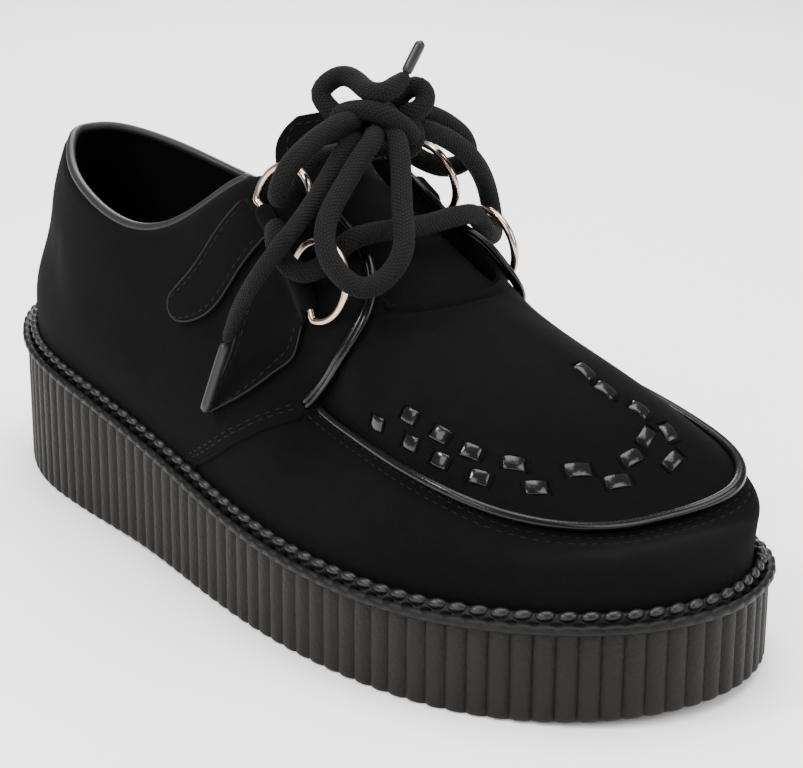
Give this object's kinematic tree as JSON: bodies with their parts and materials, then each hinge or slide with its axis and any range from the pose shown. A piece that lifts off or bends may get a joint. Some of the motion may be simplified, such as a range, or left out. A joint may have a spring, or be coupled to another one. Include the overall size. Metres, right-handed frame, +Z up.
{
  "type": "creeper shoe",
  "caption": "Low suede creeper shoe, right foot, with a piped apron, ringed lace tabs, a bow in round laces and a thick ribbed wedge sole.",
  "frame": {"origin": "on the floor plane, at the middle of the shoe's bounding box seen from above, measured without the bow's cords", "axes": "+X from heel to toe, +Y to the medial (inner) side of the foot, +Z up"},
  "size_m": [0.2922, 0.1145, 0.1494],
  "materials": {
    "rubber": "matte charcoal, moulded",
    "board": "matte sock over board",
    "suede": "black suede, napped",
    "binding": "smooth grey-brown, low gloss",
    "piping": "smooth black, soft gloss",
    "nickel": "polished wire",
    "lace": "round braid",
    "aglet": "smooth sleeve"
  },
  "bodies": {
    "root": {"outsole": "rubber", "welt": "rubber", "insole": "board", "upper": "suede", "tongue": "suede", "piping_collar": "binding", "piping_apron": "piping", "piping_facing_lateral": "piping", "piping_facing_medial": "piping", "tab_upper_lateral": "suede", "tab_upper_medial": "suede", "tab_lower_lateral": "suede", "tab_lower_medial": "suede", "ring_upper_lateral": "nickel", "ring_upper_medial": "nickel", "ring_lower_lateral": "nickel", "ring_lower_medial": "nickel", "lace_bar": "lace", "lace_top": "lace", "lace_knot": "lace", "lace_loop_front": "lace", "lace_end_short": "lace", "lace_end_long": "lace", "aglet_long": "aglet", "aglet_short": "aglet"}
  },
  "joints": []
}
